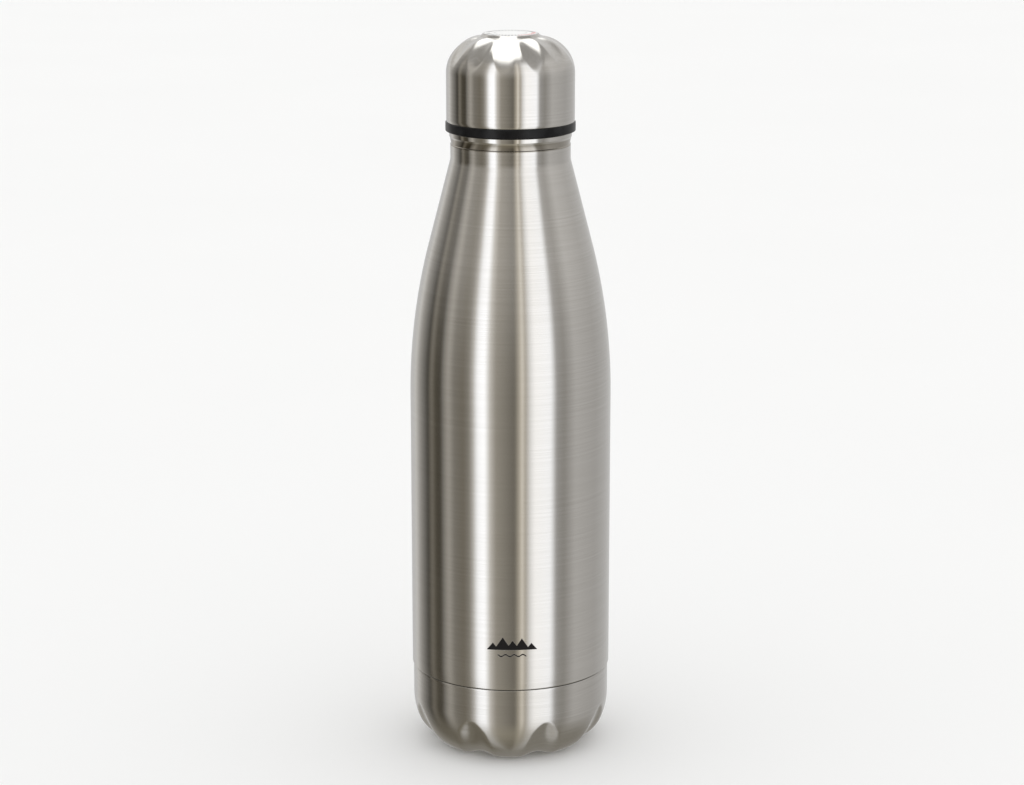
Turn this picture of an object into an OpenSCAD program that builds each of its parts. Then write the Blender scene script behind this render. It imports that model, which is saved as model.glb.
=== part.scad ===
// Double-wall vacuum bottle with a screw cap: the outer steel shell and its lobed base cup,
// the inner flask behind the vacuum gap, and the domed cap with its threaded stopper.
// Millimetres. The bottle stands on z = 0 with its axis on Z, and its front faces -Y.

/* [Bottle body] */
// Outer diameter of the straight wall
body_d = 70; // [58:0.5:90]
// Height of the seam between the base cup and the outer shell
seam_h = 28.5; // [26:0.5:40]
// Height of the straight wall above the seam
wall_h = 98.2; // [60:0.1:180]
// Height of the shoulder, from the straight wall to the neck
shoulder_h = 83.1; // [66:0.1:110]
// Radius of the long curve at the foot of the shoulder
shoulder_curve_r = 211; // [80:1:240]
// Radius of the small curve where the shoulder meets the neck
neck_curve_r = 6; // [3:0.5:10]
// Sheet thickness of every steel piece
sheet = 0.5; // [0.4:0.05:0.7]
// Vacuum gap between the outer shell and the inner flask
vacuum_gap = 2.2; // [1.8:0.1:4]

/* [Neck and mouth] */
// Outer diameter of the neck
neck_d = 41.3; // [34:0.1:50]
// Height of the neck, from the shoulder to the lip
neck_h = 8.8; // [7.5:0.1:12]
// Depth of the shallow groove round the neck
groove_depth = 0.2; // [0.1:0.05:0.4]
// Width of the groove
groove_w = 1.6; // [1:0.1:2.5]
// How far the polished lip band stands out from the neck
lip_proud = 0.35; // [0.1:0.05:0.8]
// Height of the polished lip band
lip_band_h = 2.2; // [1.5:0.1:3]
// Gap between the two walls at the neck
neck_gap = 0.9; // [0.5:0.1:2]
// Width of the ledge that the seal sits on
ledge_w = 3.2; // [2.4:0.1:4]
// Depth of that ledge below the lip
ledge_depth = 21.6; // [18:0.1:26]

/* [Thread] */
// Lead of the right-hand, single-start thread
thread_lead = 5; // [4.2:0.1:7]
// Height of each helical rib
thread_rib_h = 1.3; // [1:0.05:1.6]
// Width of a rib where it leaves its wall
thread_root_w = 2.2; // [1.6:0.1:2.4]
// Width of a rib at its crest
thread_crest_w = 1; // [0.6:0.1:1.4]
// Turns of each rib
thread_turns = 2; // [1.5:0.25:2.5]
// Radial play between a rib's crest and the wall it faces
thread_play = 0.5; // [0.4:0.05:0.8]
// Axial play between the two ribs when the cap is tight
thread_gap = 0.25; // [0.2:0.05:0.5]

/* [Cap] */
// Height of the steel cap above its black ring
cap_h = 29.9; // [24:0.1:40]
// How far the steel cap stands out from the lip band
cap_overhang = 1; // [0.5:0.1:3]
// Radius of the cap's domed edge
dome_r = 12.5; // [8:0.5:14]
// Height of the raised platform that the label sits on
platform_h = 0.9; // [0.4:0.1:2]
// Number of finger dimples round the dome
dimple_count = 12; // [8:1:14]
// Radius of the rounded floor of a dimple
dimple_r = 8; // [6:0.5:9]
// Depth of a dimple
dimple_depth = 0.8; // [0.5:0.1:1]
// Angle up the dome at which a dimple is deepest
dimple_angle = 45; // [35:1:50]
// Height of the black ring under the steel cap
ring_h = 3.15; // [2.4:0.05:5]
// How far the black ring stands out from the steel cap
ring_proud = 0.3; // [0:0.05:0.8]
// Gap between the lip and the black ring when the cap is tight
ring_gap = 0.15; // [0.1:0.05:0.4]
// Diameter of the round label on top of the cap
label_d = 18.6; // [10:0.2:19]
// Thickness of the label
label_t = 0.12; // [0.08:0.02:0.3]

/* [Stopper] */
// Wall thickness of the plastic pieces
plastic_wall = 1.8; // [1.4:0.1:2.4]
// Thickness of the silicone seal
seal_h = 2.4; // [1.8:0.1:3.2]
// Width by which the seal covers the ledge
seal_cover = 1.4; // [1:0.1:1.8]
// Radial running clearance between the seal and the stopper's waist
seal_play = 0.05; // [0.02:0.01:0.1]
// Height of the lip that keeps the seal on the stopper
keeper_h = 2; // [1.4:0.1:3]

/* [Base cup] */
// Step between the outer shell and the base cup
cup_step = 0.4; // [0.2:0.05:1]
// Number of lobes round the base
lobe_count = 8; // [5:1:10]
// Height at which the wall starts to curve in
corner_h = 17.5; // [14:0.5:22]
// Distance that the wall curves in, down to the foot
corner_w = 12.65; // [9:0.05:16]
// Width of the flat foot on each lobe
foot_w = 1.5; // [1:0.1:3]
// Height of the hollow under the base
hollow_h = 3.2; // [2:0.1:5]
// Radius of the rounded floor of a valley between two lobes
valley_r = 7.5; // [5:0.1:8]
// Height at which a valley leaves the wall
valley_top_h = 15.5; // [12:0.5:20]
// Slant of a valley's upper part from upright
valley_slant = 32; // [25:1:40]
// Height of a valley's floor above the foot
valley_floor_h = 2.4; // [1.5:0.1:4]

/* [Hidden] */
$fn = 96;

// Turns each piece's numbered features so that the first one faces where it does on the bottle
front_turn = -90;
lobe_offset = 1.5;
lobe_turn = front_turn - lobe_offset;
dimple_offset = 6;
dimple_turn = front_turn - dimple_offset;

// Steps in which a curved outline is drawn
arc_steps = 12;
// Extra length by which a cutter passes through the wall it cuts
through = 1;

// Bottle body
body_r = body_d / 2;
neck_r = neck_d / 2;
wall_top = seam_h + wall_h;
neck_z = wall_top + shoulder_h;
lip_z = neck_z + neck_h;
shoulder_drop = body_r - neck_r;
// The two curves of the shoulder fit between the wall and the neck with a straight stretch left over
curve_share = 0.92;
curve_fill = (pow(shoulder_h, 2) + pow(shoulder_drop, 2)) / (2 * shoulder_drop);
curve_sum_max = curve_share * curve_fill;
curve_sum = min(shoulder_curve_r + neck_curve_r, curve_sum_max);
shoulder_r = curve_sum - neck_curve_r;
shoulder_reach = norm([shoulder_h, curve_sum - shoulder_drop]);
shoulder_slope = atan2(shoulder_h, curve_sum - shoulder_drop) - acos(curve_sum / shoulder_reach);

// Neck and lip
lip_r = neck_r + lip_proud;
rim_r = neck_r - sheet + lip_proud / 2;
rim_h = 1;
mouth_r = neck_r - 2 * sheet - neck_gap;
throat_r = mouth_r - ledge_w;
ledge_z = lip_z - ledge_depth;
throat_h = 2;
flare_h = 6;
lip_edge = 0.3;

// Spigot of the outer shell inside the base cup, with the bond between them
cup_r = body_r - cup_step;
bond_t = 0.3;
spigot_r = cup_r - sheet - bond_t;
// The spigot ends above the highest point of the valleys
spigot_clear = 2.5;
spigot_z = valley_top_h + spigot_clear;
bond_margin = 2;
seam_gap = 0.35;
// Slant from upright of the valleys' lower part, which crosses the foot
level_slant = 84;
step_z = seam_h + seam_gap;

// Inner flask
flask_inset = sheet + vacuum_gap;
flask_r = body_r - flask_inset;
plate_rim_h = 3;
floor_clear = 4;
floor_rim_h = 2;
floor_z = spigot_z + 2 * sheet + floor_clear;
foil_t = 0.1;
foil_margin = 6;

// Getter under the flask's bottom
getter_r = 4;
getter_h = 1.2;
getter_offset = 15;
strap_t = 0.3;
strap_w = 5;
strap_foot = 4;

// Evacuation hole in the vacuum plate
pocket_r = 5;
pocket_h = 1;
hole_r = 0.8;
bead_r = 2.6;
bead_h = 0.7;
bead_slope = 0.8;

// Cap
cap_r = lip_r + cap_overhang;
ring_z = lip_z + ring_gap;
cap_z = ring_z + ring_h;
cap_top = cap_z + cap_h;
dome_top = cap_top - platform_h;
dome_z = dome_top - dome_r;
dome_flat_r = cap_r - dome_r;
// The platform has a margin round the label and slopes down at 45 degrees to the dome
label_margin = 0.2;
platform_r = label_d / 2 + label_margin;
platform_angle = acos((platform_r + platform_h - dome_flat_r) / dome_r);
slope_inset = tan(22.5);
core_bond_t = 0.3;
core_r = cap_r - sheet - core_bond_t;
deck_drop = 1.8;
deck_z = dome_z - deck_drop;
ring_edge = 0.3;
flange_h = 1.5;
flange_w = 2.6;
cap_bond_h = 9;
cap_bond_rise = 3;
// Length of a dimple below its deepest point, as a share of the dome's radius
dimple_reach = 0.36;

seal_edge = 0.25;
keeper_edge = 0.4;
strap_play = 0.4;

// Stopper
plug_r = mouth_r - thread_rib_h - thread_play;
plug_play = 0.2;
seal_top = ledge_z + seal_h;
seal_r = throat_r + seal_cover;
waist_play = 1.4;
waist_r = throat_r - waist_play;
waist_wall = 1.6;
keeper_play = 0.4;
keeper_r = throat_r - keeper_play;
keeper_drop = 0.1;
keeper_top = ledge_z - keeper_drop;
keeper_z = keeper_top - keeper_h;
plug_floor_t = 1.6;
plug_floor_z = seal_top + plug_floor_t;
spigot_h = 2;
thread_low = 3.4;
rib_steps = 24;
rib_bed = 0.3;
rib_lead_in = 3;
// Axial distance between the middles of the two ribs when the cap is tight
rib_taper = (thread_root_w - thread_crest_w) / 2;
rib_overlap = (thread_rib_h + thread_play) / thread_rib_h;
rib_offset = thread_root_w - rib_taper * rib_overlap + thread_gap;

// Height of the shoulder's inner and outer faces is found on an offset of the same outline
function slope_start(inset) = wall_top + (shoulder_r - inset) * sin(shoulder_slope);
function slope_start_r(inset) =
    body_r - shoulder_r + (shoulder_r - inset) * cos(shoulder_slope);
function curve_radius(z, inset) =
    body_r - shoulder_r + sqrt(pow(shoulder_r - inset, 2) - pow(z - wall_top, 2));
function slope_radius(z, inset) =
    slope_start_r(inset) - (z - slope_start(inset)) * tan(shoulder_slope);
// Radius of the body at height z, on a face that lies inset inside the outer one
function body_radius(z, inset) =
    z < slope_start(inset) ? curve_radius(z, inset) : slope_radius(z, inset);

// Points up the shoulder from the straight wall, stopping at height top
function shoulder_to(top, inset) = [
    for (i = [0:arc_steps])
        let (z = wall_top + (min(top, slope_start(inset)) - wall_top) * i / arc_steps)
            [body_radius(z, inset), z]
];
// Points of the small curve into the neck, from its foot up
function neck_curve(inset) = [
    for (i = [arc_steps / 2:-1:0])
        let (a = shoulder_slope * i * 2 / arc_steps)
            [neck_r + neck_curve_r - (neck_curve_r + inset) * cos(a),
             neck_z - (neck_curve_r + inset) * sin(a)]
];
function reversed(points) = [for (i = [len(points) - 1:-1:0]) points[i]];
function arc_points(centre, r, from, to) = [
    for (i = [0:arc_steps])
        let (a = from + (to - from) * i / arc_steps) [centre[0] + r * cos(a), centre[1] + r * sin(a)]
];

module revolve(points) {
    rotate_extrude() polygon(points);
}

module ring(outer, inner, z, h) {
    translate([0, 0, z])
        difference() {
            cylinder(r = outer, h = h);
            translate([0, 0, -through]) cylinder(r = inner, h = h + 2 * through);
        }
}

// A helical rib whose middle starts at start_z. It grows out of a wall at root_r, rises to crest_r
// and runs out gently at both ends.
module helical_rib(root_r, crest_r, start_z) {
    outward = crest_r > root_r ? 1 : -1;
    bed_r = root_r - outward * rib_bed;
    last = floor(rib_steps * thread_turns);
    points = [
        for (i = [0:last])
            let (
                a = 360 * i / rib_steps,
                z = start_z + thread_lead * i / rib_steps,
                rise = min(1, (min(i, last - i) + 0.5) / rib_lead_in),
                r = root_r + (crest_r - root_r) * rise,
                low = thread_root_w / 2,
                high = low - rib_taper * rise
            )
                each [
                    [bed_r * cos(a), bed_r * sin(a), z - low],
                    [r * cos(a), r * sin(a), z - high],
                    [r * cos(a), r * sin(a), z + high],
                    [bed_r * cos(a), bed_r * sin(a), z + low]
                ]
    ];
    sides = [
        for (i = [0:last - 1])
            for (k = [0:3])
                let (a = 4 * i + k, b = 4 * i + (k + 1) % 4)
                    each [[a, b, b + 4], [a, b + 4, a + 4]]
    ];
    ends = [[3, 2, 1, 0], [4 * last, 4 * last + 1, 4 * last + 2, 4 * last + 3]];
    faces = concat(sides, ends);
    flipped = [for (f = faces) reversed(f)];
    polyhedron(points, outward > 0 ? faces : flipped);
}

module outer_shell() {
    band_z = lip_z - lip_band_h;
    groove_top = band_z - lip_proud - groove_depth;
    color("silver")
        revolve(concat(
            [[spigot_r, spigot_z], [spigot_r, step_z], [body_r, step_z]],
            shoulder_to(neck_z, 0),
            neck_curve(0),
            [[neck_r, groove_top - groove_w],
             [neck_r - groove_depth, groove_top - groove_w + groove_depth],
             [neck_r - groove_depth, groove_top],
             [lip_r, band_z],
             [lip_r, lip_z - lip_edge],
             [lip_r - lip_edge, lip_z],
             [rim_r, lip_z],
             [rim_r, band_z],
             [neck_r - sheet, band_z - lip_proud]],
            reversed(neck_curve(sheet)),
            reversed(shoulder_to(neck_z, sheet)),
            [[body_r - sheet, step_z + sheet],
             [spigot_r - sheet, step_z + sheet],
             [spigot_r - sheet, spigot_z]]
        ));
}

// Outline of the base cup's face that lies inset inside the outer one, from the top down
function cup_outline(inset, top) = concat(
    [[cup_r - inset, top], [cup_r - inset, corner_h]],
    [for (i = [1:arc_steps])
        let (a = 90 * i / arc_steps)
            [cup_r - corner_w + (corner_w - inset) * cos(a), corner_h - (corner_h - inset) * sin(a)]],
    [[cup_r - corner_w - foot_w, inset],
     [cup_r - corner_w - foot_w - hollow_h, hollow_h + inset],
     [0, hollow_h + inset],
     [0, top]]
);

// A cylinder whose floor line runs through the point [r, z] in the XZ plane. The line leans by
// slant from upright, and the cylinder lies outside it by its own radius.
module slanted_cutter(point, slant, tool_r, grow, up, down) {
    translate([point[0], 0, point[1]])
        rotate([0, slant, 0])
            translate([tool_r, 0, -down])
                cylinder(r = tool_r + grow, h = up + down);
}

// The valleys between the lobes: a slanted upper part that runs out of the wall, and a nearly
// level part that crosses the foot
module valleys(grow) {
    elbow = [cup_r - (valley_top_h - valley_floor_h) * tan(valley_slant), valley_floor_h];
    for (k = [0:lobe_count - 1])
        rotate(lobe_turn + 360 * (k + 0.5) / lobe_count) {
            slanted_cutter(elbow, valley_slant, valley_r, grow, 2 * corner_h, valley_r);
            slanted_cutter(elbow, level_slant, valley_r, grow, 2 * valley_r, corner_w);
        }
}

module cup_solid(inset, top) {
    difference() {
        revolve(cup_outline(inset, top));
        valleys(inset);
    }
}

module base_cup() {
    color("gainsboro")
        difference() {
            cup_solid(0, seam_h);
            cup_solid(sheet, seam_h + through);
        }
}

// Adhesive between the base cup and the shell's spigot
module base_bond() {
    bottom = spigot_z + bond_margin;
    color("darkkhaki")
        ring(spigot_r + bond_t, spigot_r, bottom, seam_h - bond_margin - bottom);
}

// Plate that closes the outer shell, with the pocket and the hole that the air is drawn out of
module vacuum_plate() {
    plate_r = spigot_r - sheet;
    color("lightsteelblue")
        revolve([
            [hole_r, spigot_z + pocket_h],
            [pocket_r - sheet, spigot_z + pocket_h],
            [pocket_r - sheet, spigot_z],
            [plate_r, spigot_z],
            [plate_r, spigot_z + plate_rim_h],
            [plate_r - sheet, spigot_z + plate_rim_h],
            [plate_r - sheet, spigot_z + sheet],
            [pocket_r, spigot_z + sheet],
            [pocket_r, spigot_z + pocket_h + sheet],
            [hole_r, spigot_z + pocket_h + sheet]
        ]);
}

// Solder glass that seals the hole once the air is out
module glass_seal() {
    under = spigot_z + pocket_h;
    color("darkslategray")
        revolve([
            [0, under + sheet],
            [hole_r, under + sheet],
            [hole_r, under],
            [bead_r, under],
            [bead_r - bead_slope, under - bead_h],
            [0, under - bead_h]
        ]);
}

module inner_flask() {
    flare_z = ledge_z - throat_h - flare_h;
    inner = flask_inset + sheet;
    color("lightgray")
        union() {
            revolve(concat(
                [[body_r - inner, floor_z - floor_rim_h]],
                shoulder_to(flare_z, inner),
                [[body_radius(flare_z, inner), flare_z],
                 [throat_r, ledge_z - throat_h],
                 [throat_r, ledge_z],
                 [mouth_r, ledge_z],
                 [mouth_r, lip_z],
                 [rim_r, lip_z],
                 [rim_r, lip_z - rim_h],
                 [mouth_r + sheet, lip_z - rim_h],
                 [mouth_r + sheet, ledge_z - sheet],
                 [throat_r + sheet, ledge_z - sheet],
                 [throat_r + sheet, ledge_z - throat_h],
                 [body_radius(flare_z, flask_inset), flare_z]],
                reversed(shoulder_to(flare_z, flask_inset)),
                [[flask_r, floor_z - floor_rim_h]]
            ));
            helical_rib(mouth_r, mouth_r - thread_rib_h, ledge_z + seal_h + thread_low + rib_offset);
        }
}

// Bottom of the inner flask, welded in with its rim turned down
module flask_bottom() {
    edge_r = flask_r - sheet;
    color("lightgray")
        revolve([
            [0, floor_z],
            [edge_r, floor_z],
            [edge_r, floor_z - floor_rim_h],
            [edge_r - sheet, floor_z - floor_rim_h],
            [edge_r - sheet, floor_z - sheet],
            [0, floor_z - sheet]
        ]);
}

// Copper radiation shield wrapped round the inner flask inside the vacuum
module copper_foil() {
    bottom = floor_z + foil_margin;
    color("peru")
        ring(flask_r + foil_t, flask_r, bottom, wall_top - foil_margin - bottom);
}

// Getter that takes up the last gas in the vacuum
module getter_pill() {
    color("dimgray")
        translate([getter_offset, 0, floor_z - sheet - getter_h])
            cylinder(r = getter_r, h = getter_h);
}

// Strap spot-welded to the flask's bottom, which holds the getter
module getter_strap() {
    clear_r = getter_r + strap_play;
    half = clear_r + strap_foot;
    color("lightsteelblue")
        translate([getter_offset, -strap_w / 2, floor_z - sheet])
            rotate([-90, 0, 0])
                linear_extrude(strap_w)
                    polygon([
                        [-half, 0], [-clear_r, 0], [-clear_r, getter_h], [clear_r, getter_h],
                        [clear_r, 0], [half, 0], [half, strap_t], [clear_r + strap_t, strap_t],
                        [clear_r + strap_t, getter_h + strap_t],
                        [-clear_r - strap_t, getter_h + strap_t],
                        [-clear_r - strap_t, strap_t], [-half, strap_t]
                    ]);
}

// Silicone ring round the stopper's waist, which presses on the ledge
module seal_ring() {
    inner = waist_r + seal_play;
    color("whitesmoke")
        revolve([
            [inner, ledge_z],
            [seal_r - seal_edge, ledge_z],
            [seal_r, ledge_z + seal_edge],
            [seal_r, seal_top - seal_edge],
            [seal_r - seal_edge, seal_top],
            [inner, seal_top]
        ]);
}

// Finger dimples round the dome: each is a round-nosed cutter laid along the dome's slope
module dimples(grow) {
    slant = 90 - dimple_angle;
    deepest = [
        dome_flat_r + (dome_r - dimple_depth) * cos(dimple_angle),
        dome_z + (dome_r - dimple_depth) * sin(dimple_angle)
    ];
    nose = dimple_reach * dome_r;
    for (k = [0:dimple_count - 1])
        rotate(dimple_turn + 360 * k / dimple_count)
            translate([deepest[0], 0, deepest[1]])
                rotate([0, -dimple_angle, 0])
                    translate([dimple_r, 0, 0]) {
                        translate([0, 0, -nose]) cylinder(r = dimple_r + grow, h = nose + dome_r);
                        translate([0, 0, -nose]) sphere(r = dimple_r + grow);
                    }
}

module dome_solid(inset, bottom) {
    difference() {
        revolve(concat(
            [[0, bottom], [cap_r - inset, bottom]],
            arc_points([dome_flat_r, dome_z], dome_r - inset, 0, platform_angle),
            [[platform_r - inset * slope_inset, cap_top - inset], [0, cap_top - inset]]
        ));
        dimples(inset);
    }
}

module cap_shell() {
    color("silver")
        difference() {
            dome_solid(0, cap_z);
            dome_solid(sheet, cap_z - through);
        }
}

// Plastic core inside the steel cap, whose flange is the visible black ring
module cap_core() {
    ring_r = cap_r + ring_proud;
    seat_r = plug_r + flange_w + plug_play;
    color("black")
        revolve([
            [plug_r + plug_play, ring_z],
            [ring_r - ring_edge, ring_z],
            [ring_r, ring_z + ring_edge],
            [ring_r, cap_z - ring_edge / 3],
            [ring_r - ring_edge / 3, cap_z],
            [core_r, cap_z],
            [core_r, deck_z],
            [0, deck_z],
            [0, deck_z - plastic_wall],
            [core_r - plastic_wall, deck_z - plastic_wall],
            [core_r - plastic_wall, cap_z + plastic_wall],
            [seat_r, cap_z + plastic_wall],
            [seat_r, cap_z - flange_h],
            [plug_r + plug_play, cap_z - flange_h]
        ]);
}

// Adhesive between the steel cap and the plastic core
module cap_bond() {
    color("darkkhaki") ring(core_r + core_bond_t, core_r, cap_z + cap_bond_rise, cap_bond_h);
}

module stopper_plug() {
    bore_r = plug_r - plastic_wall;
    flange_r = plug_r + flange_w;
    color("dimgray")
        union() {
            revolve([
                [waist_r - waist_wall, keeper_top],
                [waist_r, keeper_top],
                [waist_r, seal_top],
                [plug_r, seal_top],
                [plug_r, cap_z - flange_h],
                [flange_r, cap_z - flange_h],
                [flange_r, cap_z],
                [bore_r, cap_z],
                [bore_r, plug_floor_z],
                [waist_r - waist_wall, plug_floor_z]
            ]);
            helical_rib(plug_r, plug_r + thread_rib_h, ledge_z + seal_h + thread_low);
        }
}

// Plug that closes the stopper from below, with the lip that keeps the seal on
module stopper_floor() {
    spigot_top = keeper_top + spigot_h;
    plug_spigot_r = waist_r - waist_wall;
    color("dimgray")
        revolve([
            [0, keeper_z],
            [keeper_r - keeper_edge, keeper_z],
            [keeper_r, keeper_z + keeper_edge],
            [keeper_r, keeper_top],
            [plug_spigot_r, keeper_top],
            [plug_spigot_r, spigot_top],
            [0, spigot_top]
        ]);
}

// Insulating foam that fills the stopper
module foam_core() {
    foam_r = plug_r - plastic_wall;
    low_r = waist_r - waist_wall;
    color("ivory")
        revolve([
            [0, keeper_top + spigot_h],
            [low_r, keeper_top + spigot_h],
            [low_r, plug_floor_z],
            [foam_r, plug_floor_z],
            [foam_r, deck_z - plastic_wall],
            [0, deck_z - plastic_wall]
        ]);
}

module cap_label() {
    color("white")
        translate([0, 0, cap_top])
            cylinder(d = label_d, h = label_t);
}

outer_shell();
base_cup();
base_bond();
vacuum_plate();
glass_seal();
inner_flask();
flask_bottom();
copper_foil();
getter_pill();
getter_strap();
seal_ring();
cap_shell();
cap_core();
cap_bond();
stopper_plug();
stopper_floor();
foam_core();
cap_label();
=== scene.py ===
"""A double-wall vacuum bottle with a screw cap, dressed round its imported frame.

Shapes are drawn in millimetres as outlines that are turned round the bottle's axis, and are put into
the frame in metres. The bottle stands on z = 0 with its axis on Z, and its printed front faces -Y.
"""
import logging
import math
from abc import ABC, abstractmethod
from dataclasses import dataclass, field
from enum import Enum
from typing import Callable, Iterable, Optional, Sequence, Union

import bmesh
import bpy
import numpy as np
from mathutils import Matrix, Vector


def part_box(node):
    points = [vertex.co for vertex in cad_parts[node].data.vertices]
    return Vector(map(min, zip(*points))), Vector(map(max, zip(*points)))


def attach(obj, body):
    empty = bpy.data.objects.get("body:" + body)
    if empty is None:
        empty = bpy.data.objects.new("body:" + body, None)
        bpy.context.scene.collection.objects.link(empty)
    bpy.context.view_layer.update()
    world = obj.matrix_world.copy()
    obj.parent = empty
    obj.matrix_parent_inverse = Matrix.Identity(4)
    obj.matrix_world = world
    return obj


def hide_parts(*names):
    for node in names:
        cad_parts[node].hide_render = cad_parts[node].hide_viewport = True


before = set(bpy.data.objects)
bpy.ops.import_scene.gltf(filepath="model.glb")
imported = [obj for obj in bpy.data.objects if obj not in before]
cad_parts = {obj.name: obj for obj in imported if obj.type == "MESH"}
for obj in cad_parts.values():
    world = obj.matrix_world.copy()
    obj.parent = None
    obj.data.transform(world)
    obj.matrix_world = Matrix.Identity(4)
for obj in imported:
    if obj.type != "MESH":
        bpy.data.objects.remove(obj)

log = logging.getLogger("bottle")

MM = 0.001
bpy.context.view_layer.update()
FRONT = math.radians(-90)
Colour = tuple[float, float, float]
Push = Callable[[np.ndarray, np.ndarray, np.ndarray], np.ndarray]


class Body(Enum):
    """The moving bodies of the frame."""

    BOTTLE = "bottle"
    SEAL = "seal"
    CAP = "cap"


class Slot(Enum):
    """The material slots of the record."""

    SHELL = "brushed_shell"
    CUP = "brushed_cup"
    CAP = "brushed_cap"
    FLASK = "flask_steel"
    PLAIN_STEEL = "plain_steel"
    COPPER = "copper"
    GLASS = "solder_glass"
    GETTER = "getter"
    ADHESIVE = "adhesive"
    SILICONE = "silicone"
    BLACK_PLASTIC = "black_plastic"
    STOPPER_PLASTIC = "stopper_plastic"
    FOAM = "foam"
    LABEL = "label"


# ---------------------------------------------------------------- shader maths


class Graph:
    """The node tree of one material or world, with short ways to add nodes to it."""

    def __init__(self, tree: bpy.types.NodeTree) -> None:
        """Empties a node tree to build in.

        Args:
            tree: The tree of a material or a world.
        """
        self.tree = tree
        tree.nodes.clear()

    def node(self, kind: str, settings: Optional[dict] = None, **sockets: "Input") -> bpy.types.Node:
        """Adds any node.

        Args:
            kind: The node's type, without the ShaderNode prefix.
            settings: Attributes to set before the sockets, with a ramp's stops under "stops".
            sockets: Values or links by socket name, with _ for a space.

        Returns:
            The new node.
        """
        made = self.tree.nodes.new("ShaderNode" + kind)
        for name, value in (settings or {}).items():
            if name == "stops":
                self._set_stops(made.color_ramp, value)
            else:
                setattr(made, name, value)
        for name, value in sockets.items():
            self.plug(made.inputs[name.replace("_", " ")], value)
        return made

    @staticmethod
    def _set_stops(ramp: bpy.types.ColorRamp, stops: Sequence[tuple[float, Colour]]) -> None:
        """Gives a colour ramp its stops, as pairs of position and colour."""
        while len(ramp.elements) < len(stops):
            ramp.elements.new(1.0)
        for element, (position, colour) in zip(ramp.elements, stops):
            element.position = position
            element.color = (*colour, 1.0)

    def plug(self, socket: bpy.types.NodeSocket, value: "Input") -> None:
        """Links a wire to a socket, or sets the socket's own value."""
        if isinstance(value, Wire):
            self.tree.links.new(value.socket, socket)
        elif socket.type == "RGBA" and len(value) == 3:
            socket.default_value = (*value, 1.0)
        else:
            socket.default_value = value

    def wire(self, made: bpy.types.Node, output: Union[str, int] = 0) -> "Wire":
        """Wraps one output of a node."""
        return Wire(self, made.outputs[output])

    def maths(self, operation: str, *values: "Input") -> "Wire":
        """Adds a Math node.

        Args:
            operation: The Math node's operation.
            values: Its operands.

        Returns:
            The result.
        """
        made = self.node("Math", {"operation": operation})
        for socket, value in zip(made.inputs, values):
            self.plug(socket, value)
        return self.wire(made)

    def step(self, value: "Wire", low: float, high: float) -> "Wire":
        """Rises smoothly from 0 at low to 1 at high, or falls where low is above high."""
        settings = {"interpolation_type": "SMOOTHSTEP"}
        if low < high:
            return self.wire(self.node("MapRange", settings, Value=value, From_Min=low, From_Max=high))
        return 1.0 - self.step(value, high, low)

    def mix(self, factor: "Input", first: "Input", second: "Input") -> "Wire":
        """Mixes two colours by a factor."""
        made = self.node("Mix", {"data_type": "RGBA"})
        for index, value in ((0, factor), (6, first), (7, second)):
            self.plug(made.inputs[index], value)
        return self.wire(made, 2)

    def noise(self, vector: "Wire", scale: float, detail: float = 2.0, roughness: float = 0.5) -> "Wire":
        """Adds a noise texture and returns its value."""
        return self.wire(self.node("TexNoise", None, Vector=vector, Scale=scale, Detail=detail,
                                   Roughness=roughness))

    def vector(self, x: "Input", y: "Input", z: "Input") -> "Wire":
        """Joins three numbers into a vector."""
        return self.wire(self.node("CombineXYZ", None, X=x, Y=y, Z=z))

    def position(self) -> tuple["Wire", "Wire", "Wire"]:
        """Gives the surface point in the frame's axes as x, y and z, in millimetres."""
        place = self.wire(self.node("TexCoord"), "Object")
        scaled = self.node("VectorMath", {"operation": "SCALE"}, Vector=place, Scale=1.0 / MM)
        parts = self.node("SeparateXYZ", None, Vector=self.wire(scaled))
        return self.wire(parts, 0), self.wire(parts, 1), self.wire(parts, 2)

    def bump(self, height: "Wire", depth_mm: float) -> "Wire":
        """Turns a height between 0 and 1, which stands for a depth in millimetres, into a normal."""
        return self.wire(self.node("Bump", None, Height=height, Distance=depth_mm * MM, Strength=1.0))

    def surface(self, colour: "Input", roughness: "Input", normal: "Wire", metal: "Input" = 0.0,
                **constants: Union[float, Colour]) -> bpy.types.Node:
        """Adds the surface shader.

        Args:
            colour: The base colour.
            roughness: The roughness.
            normal: The normal.
            metal: How metallic it is.
            constants: Values of other sockets, the same all over, by name with _ for a space.

        Returns:
            The shader.
        """
        return self.node("BsdfPrincipled", None, Base_Color=colour, Roughness=roughness, Normal=normal,
                         Metallic=metal, **constants)


def operators(operation: str) -> tuple[Callable, Callable]:
    """Makes an operator's two methods from a Math node's operation.

    Args:
        operation: The Math node's operation.

    Returns:
        The method for a wire on the left and the one for a wire on the right.
    """

    def plain(self: "Wire", other: "Input") -> "Wire":
        """Works the operation on this and another value."""
        return self.graph.maths(operation, self, other)

    def reflected(self: "Wire", other: "Input") -> "Wire":
        """Works the operation on another value and this."""
        return self.graph.maths(operation, other, self)

    return plain, reflected


class Wire:
    """A node's output that Python's operators can do maths with."""

    def __init__(self, graph: Graph, socket: bpy.types.NodeSocket) -> None:
        """Wraps an output socket.

        Args:
            graph: The graph that the socket's node is in.
            socket: The output socket.
        """
        self.graph = graph
        self.socket = socket

    def __neg__(self) -> "Wire":
        """Changes the sign."""
        return self.graph.maths("MULTIPLY", self, -1.0)

    def __abs__(self) -> "Wire":
        """Drops the sign."""
        return self.graph.maths("ABSOLUTE", self)

    __add__, __radd__ = operators("ADD")
    __sub__, __rsub__ = operators("SUBTRACT")
    __mul__, __rmul__ = operators("MULTIPLY")
    __truediv__, __rtruediv__ = operators("DIVIDE")


Input = Union[Wire, float, Sequence[float]]


# ---------------------------------------------------------------- finishes


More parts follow.
